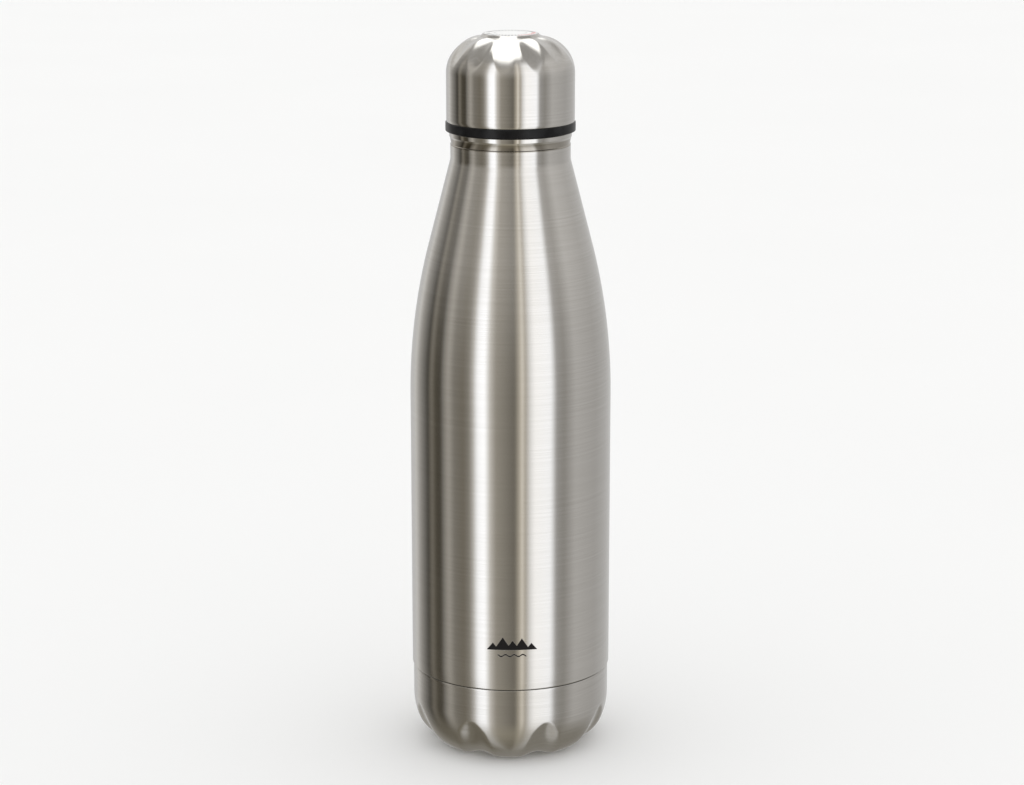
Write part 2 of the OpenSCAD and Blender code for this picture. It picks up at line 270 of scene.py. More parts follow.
class Finish(ABC):
    """A surface finish that can be put on a piece."""

    slot: Slot

    @abstractmethod
    def shade(self, graph: Graph) -> bpy.types.Node:
        """Builds the finish's nodes and returns its surface shader."""

    def put_on(self, piece: bpy.types.Object) -> None:
        """Makes the material and gives it to a piece in place of what the piece had.

        Args:
            piece: The mesh object to dress.
        """
        material = bpy.data.materials.new(piece.name + "_finish")
        material.use_nodes = True
        graph = Graph(material.node_tree)
        surface = self.shade(graph)
        graph.node("OutputMaterial", None, Surface=graph.wire(surface))
        piece.data.materials.clear()
        piece.data.materials.append(material)


@dataclass(frozen=True)
class Steel(Finish):
    """Stainless steel, brushed round the axis, with a polished stretch where one is given.

    Attributes:
        slot: The record's slot for it, which is not used.
        light: Colour of the brightest grain.
        dark: Colour of the darkest grain.
        roughness: Mean roughness.
        spread: How far the brushing stretches a highlight along the axis, from 0 to 1.
        grain_mm: Depth of the brushing.
        polished: Height above which the steel is polished, in millimetres, if it is anywhere.
        painted_band_h: Height of the band at the foot of the polished stretch whose colour is painted
            darker, a painted dark reflection.
        print_height: Height of the printed mark's foot, in millimetres, if the piece is printed.
    """

    slot: Slot
    light: Colour = (0.655, 0.64, 0.62)
    dark: Colour = (0.605, 0.59, 0.565)
    roughness: float = 0.19
    spread: float = 0.95
    grain_mm: float = 0.0015
    polished: Optional[float] = None
    painted_band_h: float = 2.5
    print_height: Optional[float] = None

    def shade(self, graph: Graph) -> bpy.types.Node:
        """Builds the brushed steel and, over it, the print."""
        x, y, z = graph.position()
        radius = graph.maths("SQRT", x * x + y * y)
        along = z + radius
        grain = graph.noise(graph.vector(x * 0.025, y * 0.025, along * 5.0), 1.0, 3.0, 0.6)
        smudge = graph.noise(graph.vector(x, y, z), 0.06, 3.0)
        tone = graph.step(grain, 0.3, 0.7)
        colour = graph.mix(tone, self.dark, self.light)
        rough = self.roughness + (grain - 0.5) * 0.03 + (smudge - 0.5) * 0.04
        height = grain
        if self.polished is not None:
            shine = graph.step(z, self.polished - 0.15, self.polished + 0.15)
            rough = rough * (1.0 - shine) + 0.07 * shine
            # Painted reflection: a band from the foot of the polished stretch upwards is mixed towards
            # dark olive, standing in for a dark table mirrored in the bevel.
            painted_reflection = shine * graph.step(z, self.polished + self.painted_band_h + 0.2,
                                        self.polished + self.painted_band_h - 0.2)
            colour = graph.mix(painted_reflection, colour, (0.4, 0.375, 0.335))
            height = height * (1.0 - shine * 0.97)
        metal: Input = 1.0
        if self.print_height is not None:
            ink = printed_peaks(graph, x, y, z - self.print_height)
            colour = graph.mix(ink, colour, (0.012, 0.011, 0.011))
            rough = rough * (1.0 - ink) + 0.55 * ink
            metal = 1.0 - ink
        return graph.surface(colour, rough, graph.bump(height, self.grain_mm), metal,
                             Specular_IOR_Level=0.15, Anisotropic=self.spread, Anisotropic_Rotation=0.25)


def printed_peaks(graph: Graph, x: Wire, y: Wire, z: Wire) -> Wire:
    """Draws the small print on the front: a row of five peaks over a thin wavy line.

    Args:
        graph: The graph to draw in.
        x: Distance to the right of the bottle's middle, in millimetres.
        y: Distance behind the axis, in millimetres.
        z: Height above the print's foot, in millimetres.

    Returns:
        1 where there is ink and 0 elsewhere.
    """
    edge = 0.06
    foot = 2.9
    middle = x - 0.5
    skyline: Input = -1.0
    for place, rise, slope in ((-6.6, 2.6, 1.25), (-3.2, 4.6, 1.5), (0.2, 3.4, 1.3), (3.4, 4.2, 1.5),
                               (6.7, 2.4, 1.2)):
        skyline = graph.maths("MAXIMUM", skyline, rise - abs(middle - place) * slope)
    peaks = graph.step(skyline - (z - foot), -edge, edge) * graph.step(z - foot, -edge, edge)
    wave = z - 0.9 - graph.maths("SINE", middle * 2.1) * 0.35
    line = graph.step(abs(wave), 0.24 + edge, 0.24 - edge) * graph.step(abs(middle), 5.0, 4.9)
    return graph.maths("MAXIMUM", peaks, line) * graph.step(y, 0.0, -1.0)


@dataclass(frozen=True)
class Plastic(Finish):
    """Moulded plastic with a fine spark-eroded texture.

    Attributes:
        slot: The record's slot for it, which is not used.
        colour: Its colour.
        roughness: Mean roughness.
        texture_mm: Depth of the moulded texture.
        gloss: Specular level.
    """

    slot: Slot
    colour: Colour
    roughness: float = 0.35
    texture_mm: float = 0.01
    gloss: float = 0.5

    def shade(self, graph: Graph) -> bpy.types.Node:
        """Builds the plastic."""
        place = graph.vector(*graph.position())
        texture = graph.noise(place, 7.0, 3.0, 0.6)
        patches = graph.noise(place, 0.25, 2.0)
        worn = tuple(channel * 1.6 + 0.006 for channel in self.colour)
        colour = graph.mix(graph.step(patches, 0.35, 0.75), self.colour, worn)
        rough = self.roughness + (texture - 0.5) * 0.12 + (patches - 0.5) * 0.1
        return graph.surface(colour, rough, graph.bump(texture, self.texture_mm),
                             Specular_IOR_Level=self.gloss)


@dataclass(frozen=True)
class Silicone(Finish):
    """Translucent white silicone rubber."""

    slot: Slot = Slot.SILICONE

    def shade(self, graph: Graph) -> bpy.types.Node:
        """Builds the silicone."""
        place = graph.vector(*graph.position())
        dust = graph.noise(place, 2.4, 4.0, 0.7)
        colour = graph.mix(graph.step(dust, 0.4, 0.8), (0.8, 0.8, 0.78), (0.68, 0.68, 0.65))
        return graph.surface(colour, 0.42 + (dust - 0.5) * 0.2, graph.bump(dust, 0.01),
                             Subsurface_Weight=0.25, Subsurface_Radius=(MM, MM, MM))


@dataclass(frozen=True)
class Copper(Finish):
    """Bright copper foil with the creases that wrapping leaves."""

    slot: Slot = Slot.COPPER

    def shade(self, graph: Graph) -> bpy.types.Node:
        """Builds the foil."""
        place = graph.vector(*graph.position())
        creases = graph.wire(graph.node("TexVoronoi", {"feature": "DISTANCE_TO_EDGE"}, Vector=place,
                                        Scale=0.12))
        film = graph.noise(place, 0.08, 4.0, 0.6)
        colour = graph.mix(film, (0.86, 0.42, 0.26), (0.68, 0.3, 0.19))
        normal = graph.bump(graph.step(creases, 0.0, 0.12) + film * 0.4, 0.12)
        return graph.surface(colour, 0.22 + film * 0.14, normal, 1.0)


@dataclass(frozen=True)
class Grainy(Finish):
    """A dull, grainy filler: foam, adhesive, pressed powder or fused glass.

    Attributes:
        slot: The record's slot for it, which is not used.
        light: Its lighter colour.
        dark: Its darker colour.
        grain: Grains in a millimetre.
        depth_mm: Depth of the grain.
        roughness: Mean roughness.
    """

    slot: Slot
    light: Colour
    dark: Colour
    grain: float
    depth_mm: float
    roughness: float

    def shade(self, graph: Graph) -> bpy.types.Node:
        """Builds the filler."""
        place = graph.vector(*graph.position())
        cells = graph.wire(graph.node("TexVoronoi", None, Vector=place, Scale=self.grain))
        cloud = graph.noise(place, self.grain * 0.3, 3.0)
        colour = graph.mix(graph.step(cells * 0.6 + cloud * 0.5, 0.2, 0.8), self.dark, self.light)
        return graph.surface(colour, self.roughness + (cloud - 0.5) * 0.15,
                             graph.bump(cells, self.depth_mm))


ADHESIVE = Grainy(Slot.ADHESIVE, (0.78, 0.72, 0.55), (0.62, 0.56, 0.4), 1.2, 0.05, 0.5)


@dataclass(frozen=True)
class PrintedLabel(Finish):
    """White coated paper with a ring of small grey ticks, a few of them red.

    Attributes:
        slot: The record's slot for it, which is not used.
        ring_mm: Radius of the ring of ticks.
        ticks: How many ticks go round.
    """

    slot: Slot = Slot.LABEL
    ring_mm: float = 7.9
    ticks: int = 44

    def shade(self, graph: Graph) -> bpy.types.Node:
        """Builds the label."""
        x, y, z = graph.position()
        fibres = graph.noise(graph.vector(x, y, z), 3.0, 4.0, 0.7)
        paper = graph.mix(graph.step(fibres, 0.35, 0.75), (0.9, 0.9, 0.89), (0.84, 0.84, 0.83))
        radius = graph.maths("SQRT", x * x + y * y)
        angle = graph.maths("ARCTAN2", y, x)
        turn = graph.maths("FRACT", angle * (self.ticks / math.tau) + self.ticks)
        tick = graph.step(abs(turn - 0.5), 0.3, 0.24)
        band = graph.step(abs(radius - self.ring_mm), 0.75, 0.68)
        gap = graph.step(abs(angle), math.radians(172), math.radians(168))
        rim = graph.step(abs(radius - 9.0), 0.16, 0.1)
        ink = tick * band * gap
        red = graph.step(abs(angle + 0.5), 0.75, 0.7)
        colour = graph.mix(ink, paper, graph.mix(red, (0.1, 0.1, 0.105), (0.6, 0.04, 0.03)))
        inner = graph.step(abs(radius - 5.4), 0.2, 0.14)
        colour = graph.mix(inner * 0.5 + rim * 0.6, colour, (0.2, 0.2, 0.21))
        return graph.surface(colour, 0.38 + (fibres - 0.5) * 0.2, graph.bump(fibres, 0.01))


# ---------------------------------------------------------------- outlines and turning


class Outline:
    """A pen that draws an outline in the plane of radius and height, in millimetres."""

    def __init__(self) -> None:
        """Starts with no points."""
        self._points: list[tuple[float, float]] = []

    def to(self, r: float, z: float) -> "Outline":
        """Draws a straight line to a point."""
        self._points.append((r, z))
        return self

    def arc(self, centre: tuple[float, float], radius: float, start: float, end: float,
            steps: int = 16) -> "Outline":
        """Draws an arc.

        Args:
            centre: Radius and height of the arc's centre.
            radius: The arc's radius.
            start: Angle from outward that it starts at, in degrees.
            end: Angle that it ends at.
            steps: Straight stretches that it is made of.

        Returns:
            The pen itself.
        """
        for i in range(steps + 1):
            a = math.radians(start + (end - start) * i / steps)
            self._points.append((centre[0] + radius * math.cos(a), centre[1] + radius * math.sin(a)))
        return self

    def along(self, points: Iterable[tuple[float, float]]) -> "Outline":
        """Draws through points that are worked out elsewhere."""
        self._points.extend(points)
        return self

    def bend(self, corner: tuple[float, float], after: tuple[float, float], radius: float,
             steps: int = 5) -> "Outline":
        """Draws to a corner and rounds it on the way to the next point.

        Args:
            corner: The corner.
            after: Where the line goes after the corner.
            radius: The rounding's radius, which is cut down where a side is too short for it.
            steps: Straight stretches in the rounding.

        Returns:
            The pen itself.
        """
        here, at, then = np.array(self._points[-1]), np.array(corner), np.array(after)
        back, ahead = here - at, then - at
        back_length, ahead_length = np.linalg.norm(back), np.linalg.norm(ahead)
        back, ahead = back / back_length, ahead / ahead_length
        half = max(math.acos(max(-1.0, min(1.0, float(back @ ahead)))) / 2, 0.01)
        reach = min(radius / math.tan(half), 0.49 * back_length, 0.49 * ahead_length)
        for i in range(steps + 1):
            t = i / steps
            curve = at + back * reach * (1 - t) ** 2 + ahead * reach * t ** 2
            self._points.append((float(curve[0]), float(curve[1])))
        return self

    def points(self, longest: float = 4.0) -> np.ndarray:
        """Gives the points, with long lines cut into shorter ones and repeated points left out.

        Args:
            longest: The longest line that is left whole.

        Returns:
            An array of radius and height.
        """
        out = [self._points[0]]
        for point in self._points[1:]:
            length = math.dist(out[-1], point)
            if length < 1e-4:
                continue
            cuts = max(1, math.ceil(length / longest))
            first = out[-1]
            for i in range(1, cuts + 1):
                t = i / cuts
                out.append((first[0] + (point[0] - first[0]) * t, first[1] + (point[1] - first[1]) * t))
        return np.array(out)


def outline_normals(points: np.ndarray, closed: bool) -> np.ndarray:
    """Finds the direction to the right of the outline's run at each point.

    Args:
        points: The outline's points.
        closed: Whether the outline's end meets its start.

    Returns:
        Unit vectors of radius and height.
    """
    before, after = np.roll(points, 1, axis=0), np.roll(points, -1, axis=0)
    if not closed:
        before[0], after[-1] = points[0], points[-1]
    run = after - before
    normals = np.stack([run[:, 1], -run[:, 0]], axis=1)
    return normals / np.maximum(np.linalg.norm(normals, axis=1, keepdims=True), 1e-9)


def turned(name: str, outline: np.ndarray, closed: bool = True, push: Optional[Push] = None,
           wall: Optional[float] = None, segments: int = 256, sharp: float = 38.0) -> bpy.types.Object:
    """Turns an outline round Z into a mesh object.

    Args:
        name: The object's name.
        outline: Points of radius and height in millimetres, drawn with the material on the left.
        closed: Whether the outline's end meets its start. An open one starts and ends on the axis.
        push: How far each point is pushed in against the outline's normal, from its radius, height
            and angle.
        wall: Thickness of a shell that is grown inwards from an open outline.
        segments: Steps round the axis.
        sharp: Angle above which an edge stays sharp, in degrees.

    Returns:
        The new object, in metres.
    """
    theta = np.linspace(0, math.tau, segments, endpoint=False)
    r, z = outline[:, :1], outline[:, 1:]
    normals = outline_normals(outline, closed)
    depth = np.zeros((len(outline), segments)) if push is None else push(r, z, theta[None, :])
    layers = [depth]
    if wall is not None:
        layers.append(depth + wall)
        closed = True
    rows = []
    for number, layer in enumerate(layers):
        radius = np.maximum(r - normals[:, :1] * layer, 0.0)
        height = z - normals[:, 1:] * layer
        layer_points = np.stack([radius * np.cos(theta), radius * np.sin(theta),
                                 np.broadcast_to(height, radius.shape)], axis=2)
        rows.append(layer_points if number == 0 else layer_points[::-1])
    grid = np.concatenate(rows)
    count = len(grid)
    mesh = bpy.data.meshes.new(name)
    i = np.arange(count if closed else count - 1)[:, None]
    j = np.arange(segments)[None, :]
    a = i * segments + j
    b = i * segments + (j + 1) % segments
    c = (i + 1) % count * segments + (j + 1) % segments
    d = (i + 1) % count * segments + j
    faces = np.stack([a, b, c, d], axis=2).reshape(-1, 4)
    mesh.from_pydata((grid.reshape(-1, 3) * MM).tolist(), [], faces.tolist())
    shaping = bmesh.new()
    shaping.from_mesh(mesh)
    bmesh.ops.remove_doubles(shaping, verts=shaping.verts, dist=1e-6)
    bmesh.ops.dissolve_degenerate(shaping, edges=shaping.edges, dist=1e-7)
    bmesh.ops.recalc_face_normals(shaping, faces=shaping.faces)
    shaping.to_mesh(mesh)
    shaping.free()
    mesh.shade_smooth()
    mesh.set_sharp_from_angle(angle=math.radians(sharp))
    piece = bpy.data.objects.new(name, mesh)
    bpy.context.scene.collection.objects.link(piece)
    return piece


def smooth(share: np.ndarray) -> np.ndarray:
    """Rises from 0 to 1 as a share does, level at both ends, and stays there beyond them."""
    share = np.clip(share, 0.0, 1.0)
    return share * share * (3.0 - 2.0 * share)


def soft_max(first: np.ndarray, second: Union[np.ndarray, float],
             blend: Union[np.ndarray, float]) -> np.ndarray:
    """Takes the larger of two values, rounded where they cross.

    Args:
        first: The first values.
        second: The second values.
        blend: Width of the rounding, in the values' own unit.

    Returns:
        The blended values.
    """
    gap = np.clip(0.5 + 0.5 * (first - second) / blend, 0.0, 1.0)
    return second + (first - second) * gap + blend * gap * (1.0 - gap)


def box_mm(node: str) -> tuple[Vector, Vector]:
    """Gives a node's lowest and highest corners in millimetres."""
    low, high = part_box(node)
    return Vector(low) / MM, Vector(high) / MM


def settle(piece: bpy.types.Object, body: Body, finish: Finish, *nodes: str) -> None:
    """Dresses a piece, ties it to its body and hides the nodes that it stands for.

    Args:
        piece: The piece.
        body: The body that it rides on.
        finish: Its finish.
        nodes: The CAD nodes that it replaces.
    """
    finish.put_on(piece)
    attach(piece, body.value)
    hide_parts(*nodes)
    log.info("%s: %d faces, rides on %s", piece.name, len(piece.data.polygons), body.value)


def dress_node(node: str, finish: Finish) -> None:
    """Gives a CAD node that keeps its shape a finish."""
    finish.put_on(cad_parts[node])
    log.info("%s: carried over from the frame", node)


# ---------------------------------------------------------------- the bottle


@dataclass
class Shoulder:
    """The shape that the outer wall and the inner flask share, from the straight wall to the neck.

    Attributes:
        body_r: Radius of the straight wall.
        wall_top: Height at which the shoulder starts.
        neck_r: Radius of the neck.
        neck_z: Height at which the neck starts.
        curve_r: Radius of the long curve.
        neck_curve_r: Radius of the small curve into the neck.
        slope: Angle from upright of the straight stretch between the curves, in degrees.
    """

    body_r: float
    wall_top: float = 126.7
    neck_r: float = 20.65
    neck_z: float = 209.8
    curve_r: float = 211.0
    neck_curve_r: float = 6.0
    slope: float = field(init=False)

    def __post_init__(self) -> None:
        """Works out the slope of the straight stretch between the two curves, in degrees."""
        rise = self.neck_z - self.wall_top
        across = self.curve_r + self.neck_curve_r - (self.body_r - self.neck_r)
        reach = math.hypot(rise, across)
        total = self.curve_r + self.neck_curve_r
        self.slope = math.degrees(math.atan2(rise, across) - math.acos(total / reach))

    def lower(self, inset: float, steps: int = 40) -> list[tuple[float, float]]:
        """Gives the long curve, from the straight wall up, on a face that lies inset inside."""
        centre = (self.body_r - self.curve_r, self.wall_top)
        return list(map(tuple, Outline().arc(centre, self.curve_r - inset, 0.0, self.slope,
                                             steps).points()))

    def upper(self, inset: float, steps: int = 12) -> list[tuple[float, float]]:
        """Gives the small curve into the neck, from its foot up."""
        centre = (self.neck_r + self.neck_curve_r, self.neck_z)
        return list(map(tuple, Outline().arc(centre, self.neck_curve_r + inset, 180.0 + self.slope,
                                             180.0, steps).points()))

    def radius(self, z: float, inset: float) -> float:
        """Gives the radius of a face on the slope at a height."""
        r, foot = self.lower(inset)[-1]
        return r - (z - foot) * math.tan(math.radians(self.slope))


@dataclass
class OuterShell:
    """The brushed outer wall with its neck, groove and polished lip band.

    Attributes:
        sheet: Thickness of the steel.
        groove_depth: Depth of the groove round the neck.
        groove_w: Width of its floor.
        band_h: Height of the polished lip band.
        band_proud: How far the band stands out from the neck.
        rim_inset: Distance from the neck's face in to the weld with the inner flask.
        print_z: Height of the printed mark's foot.
        bevel_drop: Depth below the lip at which the band turns into its bevel.
    """

    sheet: float = 0.5
    groove_depth: float = 0.2
    groove_w: float = 1.6
    band_h: float = 2.2
    band_proud: float = 0.35
    rim_inset: float = 0.325
    print_z: float = 40.6
    bevel_drop: float = 1.55

    def build(self) -> bpy.types.Object:
        """Builds the shell.

        Returns:
            The shell's piece.
        """
        low, high = box_mm("outer_shell")
        seam = box_mm("base_cup")[1].z
        spigot_r = box_mm("base_bond")[1].x - 0.3
        body_r, lip_z, step_z = high.x, high.z, seam + 0.35
        shoulder = Shoulder(body_r)
        neck_r = shoulder.neck_r
        band_z = lip_z - self.band_h
        groove_top = band_z - self.band_proud - self.groove_depth
        groove_foot = groove_top - self.groove_w
        groove_r = neck_r - self.groove_depth
        lip_r = neck_r + self.band_proud
        rim_r = neck_r - self.rim_inset
        pen = Outline().to(spigot_r, low.z).to(spigot_r, step_z - 0.3).to(spigot_r, step_z)
        pen.bend((body_r, step_z), (body_r, step_z + 4), 0.3)
        pen.along(shoulder.lower(0.0)).along(shoulder.upper(0.0))
        pen.bend((neck_r, groove_foot), (groove_r, groove_foot + 0.12), 0.1)
        bevel_h = lip_z - self.bevel_drop - groove_foot - 0.2
        for i in range(12):
            t = i / 12
            pen.to(groove_r + (lip_r - groove_r) * t ** 1.7, groove_foot + 0.2 + bevel_h * t)
        pen.bend((lip_r, lip_z - self.bevel_drop), (lip_r, lip_z), 0.15)
        pen.bend((lip_r, lip_z), (rim_r, lip_z), 0.45, 8)
        pen.to(rim_r, lip_z).to(rim_r, band_z).to(neck_r - self.sheet, band_z - self.band_proud)
        pen.along(reversed(shoulder.upper(self.sheet))).along(reversed(shoulder.lower(self.sheet)))
        pen.to(body_r - self.sheet, step_z + self.sheet)
        pen.to(spigot_r - self.sheet, step_z + self.sheet).to(spigot_r - self.sheet, low.z)
        piece = turned("shell_wall", pen.points())
        # The finish paints the stretch just above the groove's foot darker, a painted dark reflection on
        # the polished bevel.
        finish = Steel(Slot.SHELL, polished=groove_foot - 0.3, print_height=self.print_z)
        settle(piece, Body.BOTTLE, finish, "outer_shell")
        return piece


@dataclass
class BaseCup:
    """The lobed cup that the bottle stands on.

    Attributes:
        corner_h: Height at which the wall starts to curve in.
        corner_w: Distance that it curves in, down to the foot.
        foot_w: Width of the flat foot on each lobe.
        hollow_h: Height of the hollow under the base.
        sheet: Thickness of the steel.
        lobes: Number of lobes.
        lobe_turn: Angle from the front of the first lobe, in degrees.
        valley_top: Height at which a valley leaves the wall.
        valley_depth: Depth that a valley comes close to at the foot.
        valley_rate: How fast it deepens below its top, as a slope.
        valley_spread: How fast it widens below its top.
        valley_narrow: Share by which it is narrower again at the foot.
        valley_shallow: Share by which it is shallower again at the foot.
        valley_late: Share of the way to the foot after which it narrows again.
        edge: Width over which its edges are rounded.
    """

    corner_h: float = 17.5
    corner_w: float = 12.65
    foot_w: float = 1.5
    hollow_h: float = 3.2
    sheet: float = 0.5
    lobes: int = 8
    lobe_turn: float = -1.5
    valley_top: float = 15.5
    valley_depth: float = 2.1
    valley_rate: float = 0.5
    valley_spread: float = 4.1
    valley_narrow: float = 0.28
    valley_shallow: float = 0.2
    valley_late: float = 0.45
    edge: float = 1.4

    def build(self) -> bpy.types.Object:
        """Builds the cup.

        Returns:
            The cup's piece.
        """
        high = box_mm("base_cup")[1]
        cup_r, top = high.x, high.z
        foot_r = cup_r - self.corner_w
        hollow_r = foot_r - self.foot_w - self.hollow_h
        pen = Outline().to(0.0, self.hollow_h)
        pen.bend((hollow_r, self.hollow_h), (foot_r - self.foot_w, 0.0), 1.6, 8)
        pen.bend((foot_r - self.foot_w, 0.0), (foot_r, 0.0), 0.8, 6)
        steps = 48
        for i in range(steps + 1):
            a = math.pi / 2 * (1 - i / steps)
            pen.to(foot_r + self.corner_w * math.cos(a), self.corner_h * (1 - math.sin(a)))
        pen.to(cup_r, top - 0.2).to(cup_r - 0.06, top - 0.05)
        piece = turned("lobed_cup", pen.points(0.6), closed=False, push=self.valleys(foot_r),
                       wall=self.sheet, segments=640, sharp=50.0)
        settle(piece, Body.BOTTLE, Steel(Slot.CUP, light=(0.645, 0.63, 0.61), dark=(0.575, 0.56, 0.535)),
               "base_cup")
        return piece

    def valleys(self, foot_r: float) -> Push:
        """Gives the push that presses the valleys into the cup.

        Args:
            foot_r: Radius of the foot's outer edge.

        Returns:
            The push.
        """
        pitch = math.tau / self.lobes
        first = FRONT + math.radians(self.lobe_turn) + pitch / 2
        inner_r = foot_r - self.foot_w

        def push(r: np.ndarray, z: np.ndarray, theta: np.ndarray) -> np.ndarray:
            """Finds the depth of the nearest valley at each point."""
            lengths = np.hypot(np.diff(r, axis=0), np.diff(z, axis=0))
            path = np.concatenate([np.cumsum(lengths[::-1])[::-1], [0.0]])[:, None]
            start = path[z[:, 0] >= self.valley_top].max()
            run = np.maximum(path - start, 0.0)
            foot = path[np.argmin(np.abs(r - foot_r) + z)] - start
            away = (theta - first + pitch / 2) % pitch - pitch / 2
            across = np.abs(r * np.sin(away))
            floor = self.valley_rate * run / (1.0 + self.valley_rate * run / self.valley_depth)
            floor = floor * np.clip((r - inner_r + self.hollow_h) / self.hollow_h, 0.0, 1.0)
            half = np.sqrt(self.valley_spread * np.maximum(run, 0.01) / (1.0 + 0.06 * run))
            late = smooth((run - foot * self.valley_late) / (foot * (1.0 - self.valley_late)))
            half = half * (1.0 - self.valley_narrow * late)
            floor = floor * (1.0 - self.valley_shallow * late)
            rounding = self.edge * np.minimum(run / 4.0, 1.0) + 0.001
            return soft_max(floor * (1.0 - (across / half) ** 2), 0.0, rounding)

        return push


@dataclass
class InnerFlask:
    """The inner wall with its threaded neck, and its welded bottom.

    Attributes:
        sheet: Thickness of the steel.
        gap: Vacuum gap to the outer shell.
        neck_gap: Gap between the walls at the neck.
        ledge_w: Width of the seal's ledge.
        ledge_depth: Depth of the ledge below the lip.
        throat_h: Height of the throat below the ledge.
        flare_h: Height of the flare from the throat to the flask's slope.
        rim_r: Radius of the rim that is welded to the outer wall.
        rim_h: Height of that rim.
        finish: The flask's finish.
    """

    sheet: float = 0.5
    gap: float = 2.2
    neck_gap: float = 0.9
    ledge_w: float = 3.2
    ledge_depth: float = 21.6
    throat_h: float = 2.0
    flare_h: float = 6.0
    rim_r: float = 20.325
    rim_h: float = 1.0
    finish: Steel = Steel(Slot.FLASK, light=(0.7, 0.69, 0.67), dark=(0.58, 0.57, 0.55), roughness=0.24,
                          spread=0.6, grain_mm=0.002)

    def build(self) -> list[bpy.types.Object]:
        """Builds the flask's wall and bottom.

        Returns:
            The two pieces.
        """
        low, high = box_mm("inner_flask")
        body_r = box_mm("outer_shell")[1].x
        lip_z = high.z
        shoulder = Shoulder(body_r)
        outer, inner = self.sheet + self.gap, 2 * self.sheet + self.gap
        mouth_r = shoulder.neck_r - 2 * self.sheet - self.neck_gap
        throat_r = mouth_r - self.ledge_w
        ledge_z = lip_z - self.ledge_depth
        throat_z = ledge_z - self.throat_h
        flare_z = throat_z - self.flare_h
        flare_r = shoulder.radius(flare_z, inner)
        thread = ThreadRib(mouth_r, -1.0, ledge_z + 2.4 + 3.4 + ThreadRib.offset())
        pen = Outline().to(body_r - outer, low.z)
        pen.along(shoulder.lower(outer)).to(shoulder.radius(flare_z, outer), flare_z)
        pen.to(throat_r + self.sheet, throat_z).to(throat_r + self.sheet, ledge_z - self.sheet)
        pen.to(mouth_r + self.sheet, ledge_z - self.sheet).to(mouth_r + self.sheet, lip_z - self.rim_h)
        pen.to(self.rim_r, lip_z - self.rim_h).to(self.rim_r, lip_z)
        pen.bend((mouth_r, lip_z), (mouth_r, lip_z - 2), 0.45)
        pen.along((mouth_r, lip_z - 2 - 0.16 * i) for i in range(117))
        pen.bend((mouth_r, ledge_z), (throat_r, ledge_z), 0.3)
        pen.bend((throat_r, ledge_z), (throat_r, throat_z), 0.4)
        pen.bend((throat_r, throat_z), (flare_r, flare_z), 1.0)
        pen.bend((flare_r, flare_z), shoulder.lower(inner)[-1], 1.5)
        pen.along(reversed(shoulder.lower(inner))).to(body_r - inner, low.z)
        wall = turned("flask_wall", pen.points(), push=thread.push(), segments=288)
        settle(wall, Body.BOTTLE, self.finish, "inner_flask")
        return [wall, self.bottom(body_r - inner)]

    def bottom(self, edge_r: float) -> bpy.types.Object:
        """Builds the flask's bottom with its rim turned down and a pressed ring in it."""
        low, high = box_mm("flask_bottom")
        pen = Outline().to(0.0, high.z).bend((9.0, high.z), (9.6, high.z - 0.25), 0.6)
        pen.bend((9.6, high.z - 0.25), (11.4, high.z - 0.25), 0.6)
        pen.bend((11.4, high.z - 0.25), (12.0, high.z), 0.6).bend((12.0, high.z), (20.0, high.z), 0.6)
        pen.bend((edge_r, high.z), (edge_r, low.z), 0.45).to(edge_r, low.z)
        pen.to(edge_r - self.sheet, low.z)
        pen.bend((edge_r - self.sheet, high.z - self.sheet), (0.0, high.z - self.sheet), 0.3)
        pen.to(0.0, high.z - self.sheet)
        piece = turned("flask_floor", pen.points()[::-1], closed=False)
        settle(piece, Body.BOTTLE, self.finish, "flask_bottom")
        return piece


@dataclass
class ThreadRib:
    """One helical rib of the thread, as a push on the wall that it grows from.

    Attributes:
        wall_r: Radius of the wall.
        side: 1 for a rib that stands outwards and -1 for one that stands inwards.
        start_z: Height of the rib's middle where it starts.
        lead: Rise of the rib in a turn.
        turns: Turns that it makes.
        height: Height of the rib.
        root_w: Width of its root.
        crest_w: Width of its crest.
    """

    wall_r: float
    side: float
    start_z: float
    lead: float = 5.0
    turns: float = 2.0
    height: float = 1.3
    root_w: float = 2.2
    crest_w: float = 1.0

    @classmethod
    def offset(cls, play: float = 0.5, gap: float = 0.25) -> float:
        """Gives the height of the flask's rib above the stopper's when the cap is tight."""
        taper = (cls.root_w - cls.crest_w) / 2
        return cls.root_w - taper * (cls.height + play) / cls.height + gap

    def push(self) -> Push:
        """Gives the push that raises the rib.

        Returns:
            The push, which is below zero where the rib stands out.
        """

        def push(r: np.ndarray, z: np.ndarray, theta: np.ndarray) -> np.ndarray:
            """Finds the rib's height at each point of the wall."""
            on_wall = np.abs(r - self.wall_r) < 0.01
            best = np.zeros(np.broadcast(z, theta).shape)
            angle = theta % math.tau
            for turn in range(math.ceil(self.turns) + 1):
                travel = angle / math.tau + turn
                above = z - self.start_z - self.lead * np.minimum(travel, self.turns)
                end = np.clip(np.minimum(travel, self.turns - travel) * 8.0 + 0.2, 0.0, 1.0)
                slope = (self.root_w - self.crest_w) / 2
                flank = smooth((self.root_w / 2 - np.abs(above)) / slope)
                best = np.maximum(best, np.where(travel <= self.turns, flank * end, 0.0))
            return -self.height * best * on_wall

        return push


@dataclass
class VacuumParts:
    """The pieces inside the vacuum and under the base cup, which keep the frame's shapes."""

    steel: Steel = Steel(Slot.PLAIN_STEEL, roughness=0.38, spread=0.3, grain_mm=0.003)

    def dress(self) -> None:
        """Gives each piece its finish."""
        finishes: dict[str, Finish] = {
            "vacuum_plate": self.steel,
            "getter_strap": self.steel,
            "copper_foil": Copper(),
            "glass_seal": Grainy(Slot.GLASS, (0.16, 0.2, 0.18), (0.05, 0.07, 0.065), 1.6, 0.03, 0.12),
            "getter_pill": Grainy(Slot.GETTER, (0.3, 0.3, 0.31), (0.14, 0.14, 0.15), 5.0, 0.03, 0.85),
            "base_bond": ADHESIVE,
        }
        for node, finish in finishes.items():
            dress_node(node, finish)


# ---------------------------------------------------------------- the cap


